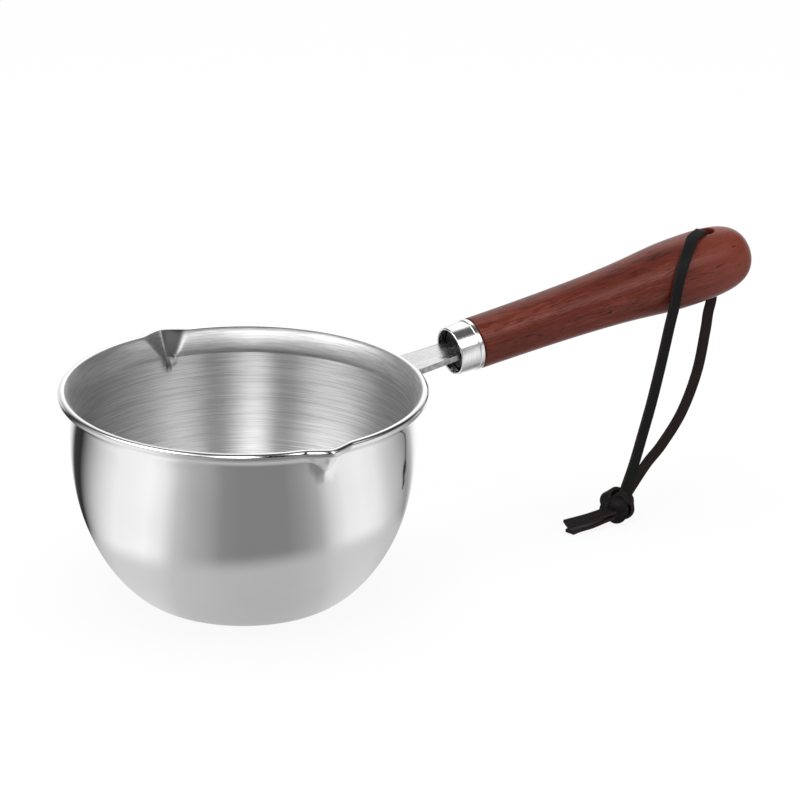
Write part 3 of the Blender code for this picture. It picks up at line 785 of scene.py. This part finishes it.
def strap_section(width, thickness):
    """The strap's right and left halves, as (across, out, way round from the middle of its face)."""
    corner = (width / 2 - STRAP_CORNER, thickness / 2 - STRAP_CORNER)
    quarter = arc_run(corner, STRAP_CORNER, 90, 0, 3)
    right = [(0.0, thickness / 2), (width / 4, thickness / 2)] + quarter
    right += [(across, -out) for across, out in quarter[::-1]]
    right += [(width / 4, -thickness / 2), (0.0, -thickness / 2)]
    section, run = [], 0.0
    for i, (across, out) in enumerate(right):
        if i:
            run += sqrt((across - right[i - 1][0]) ** 2 + (out - right[i - 1][1]) ** 2)
        section.append((across, out, run))
    left = [(-across, out, -way) for across, out, way in section[1:-1]][::-1]
    return section, left


def strap_mesh(name, route, thong, finish, closed=False):
    """A flat strap along the route, with its face the way that the route's points say."""
    right, left = strap_section(thong.width, thong.thickness)
    ring = right + left
    bm = bmesh.new()
    uv = bm.loops.layers.uv.new("strap")
    rows, runs, run = [], [], 0.0
    places = [place for place, _ in route]
    count = len(route)
    for i, (place, face) in enumerate(route):
        ahead = places[(i + 1) % count if closed else min(i + 1, count - 1)]
        behind = places[(i - 1) % count if closed else max(i - 1, 0)]
        way = (ahead - behind).normalized()
        across = way.cross(face).normalized()
        out = across.cross(way).normalized()
        rows.append([bm.verts.new(place + across * a + out * o) for a, o, _ in ring])
        if i:
            run += (place - places[i - 1]).length
        runs.append(run)
    size = len(ring)
    pairs = list(zip(range(count - 1), range(1, count))) + ([(count - 1, 0)] if closed else [])
    for first, second in pairs:
        far = runs[second] if second else run + (places[0] - places[-1]).length
        for k in range(size):
            nxt = (k + 1) % size
            face = bm.faces.new((rows[first][k], rows[first][nxt], rows[second][nxt], rows[second][k]))
            face.smooth = True
            ways = [ring[k][2], ring[nxt][2]]
            if k == len(right) - 1:
                ways[0] = -ways[0]
            for loop, corner in zip(face.loops, ((runs[first], 0), (runs[first], 1), (far, 1), (far, 0))):
                loop[uv].uv = (corner[0], ways[corner[1]])
    if not closed:
        for row in (rows[0], rows[-1]):
            for face in bmesh.ops.triangle_fill(bm, edges=ring_edges(row))["geom"]:
                if isinstance(face, bmesh.types.BMFace):
                    for loop in face.loops:
                        loop[uv].uv = (0.0, thong.width / 2 + thong.thickness / 2)
    bmesh.ops.recalc_face_normals(bm, faces=bm.faces)
    mesh = bpy.data.meshes.new(name)
    bm.to_mesh(mesh)
    bm.free()
    mesh.materials.append(finish)
    mesh.set_sharp_from_angle(angle=radians(50))
    return mesh


def ring_edges(row):
    """The edges between the neighbours in a ring of vertices, each one once."""
    pairs = {frozenset((a, b)) for a, b in zip(row, row[1:] + row[:1])}
    return [
        edge for vertex in row for edge in vertex.link_edges
        if frozenset(edge.verts) in pairs and edge.verts[0] == vertex
    ]


def knot_route(thong):
    """A tight overhand knot: the strap lies flat on a ring, three times round it and twice through."""
    level = UP.cross(KNOT_FACE).normalized()
    turn = Matrix((level, KNOT_FACE.cross(level), KNOT_FACE)).transposed()
    tube = 2.05 * MM
    ring = thong.knot_radius - tube - thong.thickness / 2
    points, steps = [], 120
    for i in range(steps):
        turned = 2 * pi * i / steps
        lobe = 3 * turned + pi / 2
        around = 2 * turned - radians(60)
        outward = Vector((cos(around), sin(around), 0.0))
        out = outward * cos(lobe) + UP * sin(lobe)
        points.append((KNOT_MIDDLE + turn @ (outward * ring + out * tube), turn @ out))
    return points


def with_core(mesh, thong):
    """Adds the turns that lie hidden in the knot, as one rounded mass."""
    bm = bmesh.new()
    bm.from_mesh(mesh)
    uv = bm.loops.layers.uv["strap"]
    size, flatness = thong.knot_radius - thong.thickness - 0.3 * MM, 0.95
    made = bmesh.ops.create_icosphere(bm, subdivisions=4, radius=size)
    for vertex in made["verts"]:
        vertex.co = Vector((vertex.co.x, vertex.co.y, vertex.co.z * flatness)) + KNOT_MIDDLE
        for face in vertex.link_faces:
            face.smooth = True
            for loop in face.loops:
                loop[uv].uv = (loop.vert.co.x + loop.vert.co.z, 0.0)
    bm.to_mesh(mesh)
    bm.free()
    return mesh


# Operators
class SceneOperator(bpy.types.Operator):
    bl_options = {"REGISTER", "UNDO"}


class OILPOT_OT_stage(SceneOperator):
    """Makes the camera, the lamps, the world and the floor"""

    bl_idname = "oilpot.stage"
    bl_label = "Stage"

    def execute(self, context):
        add_camera(context.scene.oilpot_stage)
        add_lamps()
        light_world()
        add_floor()
        context.scene.view_settings.view_transform = "Standard"
        return {"FINISHED"}


def add_camera(stage):
    turn, rise, roll = stage.camera_turn, stage.camera_rise, stage.camera_roll
    back = Vector((sin(turn) * cos(rise), -cos(turn) * cos(rise), sin(rise)))
    level = Vector((cos(turn), sin(turn), 0.0))
    above = back.cross(level)
    target = level * stage.target_aside + above * stage.target_above + UP * stage.target_height
    right = level * cos(roll) + above * sin(roll)
    up = above * cos(roll) - level * sin(roll)
    camera = bpy.data.cameras.new("camera")
    camera.lens = stage.lens
    camera.sensor_width = 36.0
    camera.clip_start = 0.05
    made = bpy.data.objects.new("camera", camera)
    facing_target = Matrix((right, up, back)).transposed().to_4x4()
    made.matrix_world = Matrix.Translation(target + back * stage.camera_distance) @ facing_target
    bpy.context.scene.collection.objects.link(made)
    bpy.context.scene.camera = made


def add_lamps():
    """Three soft lamps, which the steel doesn't mirror."""
    for name, place, target, size, power in (
        ("overhead", (0.05, 0.10, 1.3), (0.05, 0.0, 0.05), 0.9, 9.0),
        ("left", (-1.1, -0.5, 0.7), (0.0, 0.0, 0.05), 0.7, 3.5),
        ("right", (1.0, -0.9, 0.8), (0.1, 0.0, 0.05), 0.7, 3.0),
    ):
        lamp = bpy.data.lights.new(name, "AREA")
        lamp.shape = "SQUARE"
        lamp.size = size
        lamp.energy = power
        made = bpy.data.objects.new(name, lamp)
        made.location = place
        made.rotation_euler = (Vector(target) - Vector(place)).to_track_quat("-Z", "Y").to_euler()
        made.visible_glossy = False
        bpy.context.scene.collection.objects.link(made)


def tones_round(nodes, x, y, tones):
    """The tone of a table, such as the walls', for the way to a place."""
    around = nodes.maths("ARCTAN2", x, -y) / (2 * pi) + 0.5
    return nodes.ramp(around, [((way + 180) / 360, tone) for way, tone in tones])


def background(nodes, tone, strength):
    return nodes.add("ShaderNodeBackground", None, {"Color": tone, "Strength": strength})


def light_world():
    """White for the camera, plain light for what is matt, and a room with a ceiling for what mirrors it."""
    world = bpy.data.worlds.new("studio")
    world.use_nodes = True
    bpy.context.scene.world = world
    nodes = Nodes(world.node_tree)
    x, y, z = nodes.parts(nodes.add("ShaderNodeTexCoord", out="Generated"))
    walls = tones_round(nodes, x, y, WALL_TONES)
    roof = tones_round(nodes, x, y, ROOF_TONES)
    room = nodes.mix(nodes.smooth(z, 0.12, 0.30), walls, roof)
    room = nodes.mix(nodes.smooth(z, 0.84, 0.94), room, ZENITH)
    behind = nodes.smooth(x * AWAY_FROM_CAMERA[0] + y * AWAY_FROM_CAMERA[1], -0.1, 0.3)
    strength = behind + nodes.ramp(z, FRONT_STRENGTHS) * (1.0 - behind)
    seen = nodes.add("ShaderNodeLightPath", out="Is Camera Ray")
    glossy = Value(nodes, seen.socket.node.outputs["Is Glossy Ray"])
    white = (1.0, 1.0, 1.0, 1.0)
    lit = nodes.add(
        "ShaderNodeMixShader", None,
        {0: glossy, 1: background(nodes, white, 0.62), 2: background(nodes, room, strength)},
    )
    shown = nodes.add("ShaderNodeMixShader", None, {0: seen, 1: lit, 2: background(nodes, white, 1.0)})
    nodes.add("ShaderNodeOutputWorld", None, {"Surface": shown})


def pale_floor():
    """Matt white. What the steel mirrors of it has the walls' tones, and a plain patch by the pot."""
    made, nodes = new_material("pale_floor")
    x, y, _ = nodes.parts(nodes.on_piece())
    tones = tones_round(nodes, x, y, WALL_TONES)
    aside, before = x - 7.0 * MM, y + 4.0 * MM
    away = (aside * aside + before * before).maths("SQRT")
    patch = nodes.mix(0.24, (0.60, 0.60, 0.60), tones)
    mirrored = nodes.mix(nodes.smooth(away, 66.0 * MM, 86.0 * MM), patch, tones)
    seen = nodes.add("ShaderNodeLightPath", out="Is Camera Ray")
    glossy, clear = [
        Value(nodes, seen.socket.node.outputs[name]) for name in ("Is Glossy Ray", "Is Transmission Ray")
    ]
    shine = nodes.mix(glossy, (1.0, 1.0, 1.0), mirrored)
    white = nodes.add("ShaderNodeEmission", None, {"Color": shine, "Strength": 1.0})
    matt = nodes.add("ShaderNodeBsdfDiffuse", None, {"Color": (0.9, 0.9, 0.9, 1.0)})
    amount = (seen * 0.9 + glossy + clear).maths("MINIMUM", 1.0)
    floor = nodes.add("ShaderNodeMixShader", None, {0: amount, 1: matt, 2: white})
    nodes.add("ShaderNodeOutputMaterial", None, {"Surface": floor})
    return made


def add_floor():
    mesh = bpy.data.meshes.new("floor")
    size, level = 15.0, -0.2 * MM
    corners = [(x * size, y * size, level) for x, y in ((-1, -1), (1, -1), (1, 1), (-1, 1))]
    mesh.from_pydata(corners, [], [(0, 1, 2, 3)])
    mesh.materials.append(pale_floor())
    made = bpy.data.objects.new("floor", mesh)
    bpy.context.scene.collection.objects.link(made)


def hang_strap(name, route, leaves, nodes, pieces, thong, finish):
    """One strip of the loop: a strap along its route from inside the hole, over the wood and down to the knot.
    """
    points = smooth_route(route, thong.step)
    made = add_piece(name, strap_mesh(name, points, thong, finish), None, "dark_leather", *nodes)
    half_blend = UP * 1.5 * MM
    leaves + half_blend
    leaves - half_blend
    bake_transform(made)
    places = [place for place, _ in points]
    run = sum((b - a).length for a, b in zip(places, places[1:]))
    tuple(places[0])
    [tuple(place) for place in places]
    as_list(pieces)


class OILPOT_OT_thong(SceneOperator):
    """Makes the leather thong: its two straps, its knot and its two tails"""

    bl_idname = "oilpot.thong"
    bl_label = "Thong"

    def execute(self, context):
        scene = context.scene
        pot, handle, thong = scene.oilpot_pot, scene.oilpot_handle, scene.oilpot_thong
        tones = [getattr(scene.oilpot_finishes, name) for name in ("leather", "flesh_side", "cut_edge")]
        finish = soft_leather(tones, thong.width, thong.thickness)
        knot_mesh = with_core(strap_mesh("thong_knot", knot_route(thong), thong, finish, closed=True), thong)
        knot = add_piece("thong_knot", knot_mesh, "lanyard", "dark_leather", "lanyard_knot")
        tails = []
        for which, route in zip(("upper_tail", "lower_tail"), tail_routes()):
            name = "thong_" + which
            mesh = strap_mesh(name, smooth_route(route, thong.step), thong, finish)
            tails.append(add_piece(name, mesh, "lanyard", "dark_leather", "lanyard_" + which))
        hinge = next(joint for joint in frame["joints"] if joint["name"] == "lanyard_swing")
        front, back = front_route(pot, handle, thong), back_route(pot, handle)
        front_nodes, back_nodes = ("lanyard_front_run", "lanyard_wrap"), ("lanyard_back_run",)
        for name, route, leaves, nodes, pieces in (
            ("thong_front", front, Vector(hinge["pos_m"]), front_nodes, [knot, tails[0]]),
            ("thong_back", back, Vector(BACK_LEAVES_MM) * MM, back_nodes, [tails[1]]),
        ):
            hang_strap(name, route, leaves, nodes, pieces, thong, finish)
        return {"FINISHED"}


def pot_outline(pot):
    """Closed outline of the pressed sheet, from the middle of its base outside to that inside.

    Returns the points, how far up the spout each one is, how far the middle of the spout is pulled
    out there, and which finish it has.
    """
    base_steps, wall_steps, under_steps, bead_steps, over_steps = 8, 44, 14, 26, 16
    throat_height = pot.height - pot.lip_height
    wall = (
        (pot.base_radius, 0.0), (pot.base_radius + pot.base_curve, 0.0),
        (pot.belly_radius, pot.belly_height), (pot.throat_radius, throat_height - pot.neck_height),
    )
    roll = pot.roll_radius
    centre = (pot.rim_radius - roll, pot.height - roll)
    bead = arc_run(centre, roll, degrees(pot.roll_foot), degrees(pot.roll_top), bead_steps)
    foot, top = bead[0], bead[-1]
    lead, into_bead = 1.0 * MM, radians(28)
    under = (
        (pot.throat_radius, throat_height), (pot.throat_radius + 0.1 * lead, throat_height + 0.5 * lead),
        (foot[0] - lead * cos(into_bead), foot[1] - lead * sin(into_bead)), foot,
    )
    inner_throat = (pot.throat_radius - pot.sheet, throat_height - lead)
    over = (
        top, (top[0] - 2 * lead * sin(pot.roll_top), top[1] + 2 * lead * cos(pot.roll_top)),
        (inner_throat[0] + 0.15 * lead, inner_throat[1] + 1.5 * lead), inner_throat,
    )
    outer = [(pot.base_radius * i / base_steps, 0.0) for i in range(base_steps)]
    outer += bezier_run(wall, wall_steps)
    inner = offset_run(outer, pot.sheet)[::-1]
    inner[-1] = (0.0, pot.sheet)
    outer += bezier_run(under, under_steps)[:-1]
    flare = bezier_run(over, over_steps)[1:]

    point = pot.height - pot.spout_length
    point_radius = next(radius for radius, height in reversed(outer) if height <= point)

    def spout_level(height):
        return min(max((height - point) / pot.spout_length, 0.0), 1.0)

    def pressed(places, start, end, sheet, begins, takes):
        """Levels and pulls for one side of the sheet. The V's ridge is straight from its start to the lip.

        The pull begins at a level and takes a part of the spout to grow. The outside lies lower at
        the lip by the sheet's thickness, so its levels are counted that much higher.
        """
        reach = end[0] + pot.spout_reach - start
        end_level = spout_level(end[1] + sheet)
        for radius, height in places:
            level = spout_level(height + sheet * radius / pot.rim_radius)
            grown = min(max((level - begins) / takes, 0.0), 1.0)
            pull = max(start + reach * level / end_level - radius, 0.0)
            yield level, pull * grown**2 * (3.0 - 2.0 * grown)

    rows = [*pressed(outer, point_radius, foot, pot.sheet, begins=0.12, takes=0.45)]
    rows += [(1.0, pot.spout_reach)] * len(bead)
    rows += pressed(flare + inner, point_radius - pot.sheet, top, 0.0, begins=0.0, takes=0.15)
    levels, pulled = zip(*rows)
    stretches = ((outer, ON_OUTSIDE), (bead, ON_BEAD), (flare, ON_FLARE), (inner, ON_INSIDE))
    finishes = [where for stretch, where in stretches for _ in stretch]
    return outer + bead + flare + inner, levels, pulled, finishes


class OILPOT_OT_pot(SceneOperator):
    """Makes the pressed steel pot with its two spouts"""

    bl_idname = "oilpot.pot"
    bl_label = "Pot"

    def execute(self, context):
        pot, finishes = context.scene.oilpot_pot, context.scene.oilpot_finishes
        outline, levels, pulled, inside = pot_outline(pot)
        mesh = turned_mesh(
            "pot_shell", outline, (steel_outside(finishes.steel), steel_inside(finishes.brushed_steel)),
            levels, pulled, inside, Columns=pot.columns, Crowding=0.75, Turn=pot.spout_turn,
            Spout_half_width=pot.spout_half_width, Spout_point=pot.spout_point,
            Ridge_softness=0.2, Fold_softness=0.1,
        )
        add_piece("pot_shell", mesh, "pot", "pot_steel", "pot_body")
        return {"FINISHED"}


class OILPOT_OT_bar(SceneOperator):
    """Finishes the flat steel bar between the pot and the grip"""

    bl_idname = "oilpot.bar"
    bl_label = "Bar"

    def execute(self, context):
        scene = context.scene
        mesh, sheared_from = merged_copy("handle_bar"), 0.8
        side = mesh.attributes.new("side", "FLOAT", "FACE")
        side.data.foreach_set("value", [float(abs(face.normal.y) > sheared_from) for face in mesh.polygons])
        mesh.materials.append(steel_bar(scene.oilpot_finishes.steel, scene.oilpot_handle.rise))
        mesh.shade_smooth()
        mesh.set_sharp_from_angle(angle=radians(40))
        add_piece("steel_bar", mesh, "pot", "bar_steel", "handle_bar")
        return {"FINISHED"}


class OILPOT_OT_ferrule(SceneOperator):
    """Makes the steel ferrule, a turned collar with a bead"""

    bl_idname = "oilpot.ferrule"
    bl_label = "Ferrule"

    def execute(self, context):
        scene = context.scene
        pot, handle = scene.oilpot_pot, scene.oilpot_handle
        start, end = handle.ferrule_start, handle.ferrule_start + handle.ferrule_length
        bore = handle.ferrule_front - handle.ferrule_wall
        edge, bead = handle.ferrule_wall / 2, handle.ferrule_bead_length
        step = handle.ferrule_bead - handle.ferrule_back
        outline = [(bore, end), (handle.ferrule_bead - edge, end)]
        outline += arc_run((handle.ferrule_bead - edge, end - edge), edge, 90, 0, 6)[1:]
        outline += arc_run((handle.ferrule_bead - step, end - bead + step), step, 0, -90, 4)
        outline += [(handle.ferrule_back, end - bead - 0.2 * MM)]
        outline += arc_run((handle.ferrule_front - edge, start + edge), edge, 0, -180, 12)
        outline += [(bore, start + handle.ferrule_recess), (bore, end)]
        finish = steel_ferrule(scene.oilpot_finishes.steel, handle.rise)
        mesh = along_handle(turned_mesh("ferrule", outline, (finish,)), pot, handle)
        mesh.set_sharp_from_angle(angle=radians(50))
        add_piece("steel_ferrule", mesh, "pot", "ferrule_steel", "handle_ferrule")
        return {"FINISHED"}


class OILPOT_OT_grip(SceneOperator):
    """Makes the turned wooden grip with the hole for the thong"""

    bl_idname = "oilpot.grip"
    bl_label = "Grip"

    def execute(self, context):
        scene = context.scene
        pot, handle, finishes = scene.oilpot_pot, scene.oilpot_handle, scene.oilpot_finishes
        shaft, end = grip_curves(handle)
        start = shaft[0][1]
        edge, chamfer = 0.6 * MM, 0.2 * MM
        tenon = handle.ferrule_front - handle.ferrule_wall - TENON_PLAY
        tenon_end = handle.ferrule_start + handle.ferrule_recess
        outline = bezier_run(end, 40)[::-1] + bezier_run(shaft, 60)[::-1][1:-1]
        outline += arc_run((handle.neck_radius - edge, start + edge), edge, 0, -90, 5)
        outline += [(tenon, start), (tenon, tenon_end + chamfer)]
        outline += [(tenon - chamfer, tenon_end), (0.0, tenon_end)]
        tones = (finishes.wood, finishes.wood_dark, finishes.wood_light)
        finish = oiled_wood(tones, handle.rise, pot.height - handle.below_rim, tenon_end + 0.3 * MM)
        mesh = along_handle(turned_mesh("grip", outline, (finish,), Columns=128), pot, handle)
        mesh = drilled(mesh, hole_cutter(pot, handle, finish))
        mesh.set_sharp_from_angle(angle=radians(40))
        add_piece("wood_grip", mesh, "pot", "reddish_wood", "wooden_grip")
        return {"FINISHED"}


def hole_cutter(pot, handle, finish):
    """A pin across the grip that flares at both ends, for the hole and its eased mouths."""
    reach = grip_radius_at(handle, hole_at(handle))
    mouth, past = handle.hole_mouth, reach + 3 * MM
    wide = handle.hole_radius + mouth
    outline = [(0.0, past), (wide, past)]
    outline += arc_run((wide, reach - mouth), mouth, 90, 180, 8)
    outline += arc_run((wide, mouth - reach), mouth, 180, 270, 8)
    outline += [(wide, -past), (0.0, -past)]
    mesh = turned_mesh("hole", outline, (finish,), Columns=48)
    mesh.transform(Matrix.Translation((0.0, 0.0, hole_at(handle))) @ Matrix.Rotation(-pi / 2, 4, "Y"))
    return along_handle(mesh, pot, handle)


def drilled(mesh, cutter_mesh):
    made = bpy.data.objects.new("drilled", mesh)
    cutter = bpy.data.objects.new("cutter", cutter_mesh)
    for obj in (made, cutter):
        bpy.context.scene.collection.objects.link(obj)
    boolean = made.modifiers.new("hole", "BOOLEAN")
    boolean.operation = "DIFFERENCE"
    boolean.solver = "EXACT"
    boolean.object = cutter
    finished = evaluated_mesh(made)
    for obj in (made, cutter):
        bpy.data.objects.remove(obj)
    return finished


# Panel and registration
class OILPOT_PT_sizes(bpy.types.Panel):
    """Lists the sizes, the finishes and the operators"""

    bl_idname = "OILPOT_PT_sizes"
    bl_label = "Hot Oil Pot"
    bl_space_type = "VIEW_3D"
    bl_region_type = "UI"
    bl_category = "Oil Pot"

    def draw(self, context):
        for operator in OPERATORS:
            self.layout.operator(operator.bl_idname)
        for name, group in GROUPS.items():
            box = self.layout.box()
            box.label(text=group.__name__)
            for label in group.__annotations__:
                box.prop(getattr(context.scene, name), label)


GROUPS = {
    "oilpot_pot": PotSizes,
    "oilpot_handle": HandleSizes,
    "oilpot_thong": ThongSizes,
    "oilpot_finishes": Finishes,
    "oilpot_stage": StageSettings,
}
OPERATORS = (
    OILPOT_OT_stage, OILPOT_OT_thong, OILPOT_OT_pot, OILPOT_OT_bar, OILPOT_OT_ferrule, OILPOT_OT_grip,
)


def register():
    for name, group in GROUPS.items():
        bpy.utils.register_class(group)
        setattr(bpy.types.Scene, name, bpy.props.PointerProperty(type=group))
    for operator in OPERATORS:
        bpy.utils.register_class(operator)
    bpy.utils.register_class(OILPOT_PT_sizes)


def unregister():
    bpy.utils.unregister_class(OILPOT_PT_sizes)
    for operator in reversed(OPERATORS):
        bpy.utils.unregister_class(operator)
    for name, group in reversed(GROUPS.items()):
        delattr(bpy.types.Scene, name)
        bpy.utils.unregister_class(group)


def main():
    register()
    for operator in OPERATORS:
        group, name = operator.bl_idname.split(".")
        getattr(getattr(bpy.ops, group), name)()


if __name__ == "__main__":
    main()
